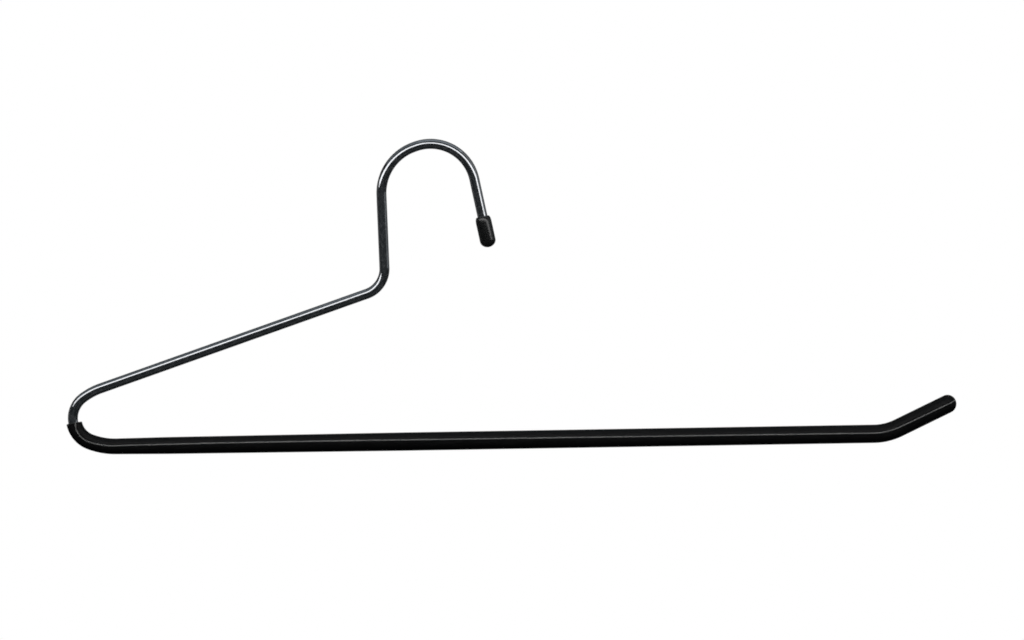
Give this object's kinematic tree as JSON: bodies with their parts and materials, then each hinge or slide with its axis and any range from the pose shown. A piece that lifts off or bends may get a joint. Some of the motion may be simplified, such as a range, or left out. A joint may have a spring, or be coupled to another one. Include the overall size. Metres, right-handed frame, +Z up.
{
  "type": "trouser hanger",
  "caption": "Open-ended trouser hanger of bent chromed wire: a hook with a capped tip, a sloping arm, and a level sleeved bar whose free end turns up.",
  "frame": {"origin": "the rail seat: the underside of the wire at the crown of the hook, where the hanger rests on a rail", "axes": "+Z up, +X along the level bar towards its free end, +Y square to the flat of the hanger, away from the viewer"},
  "size_m": [0.3502, 0.0072, 0.1225],
  "materials": {
    "chromed_wire": "polished",
    "black_sleeve": "satin",
    "black_cap": "gloss"
  },
  "bodies": {
    "root": {"wire_frame": "chromed_wire", "bar_sleeve": "black_sleeve", "hook_cap": "black_cap"}
  },
  "joints": []
}
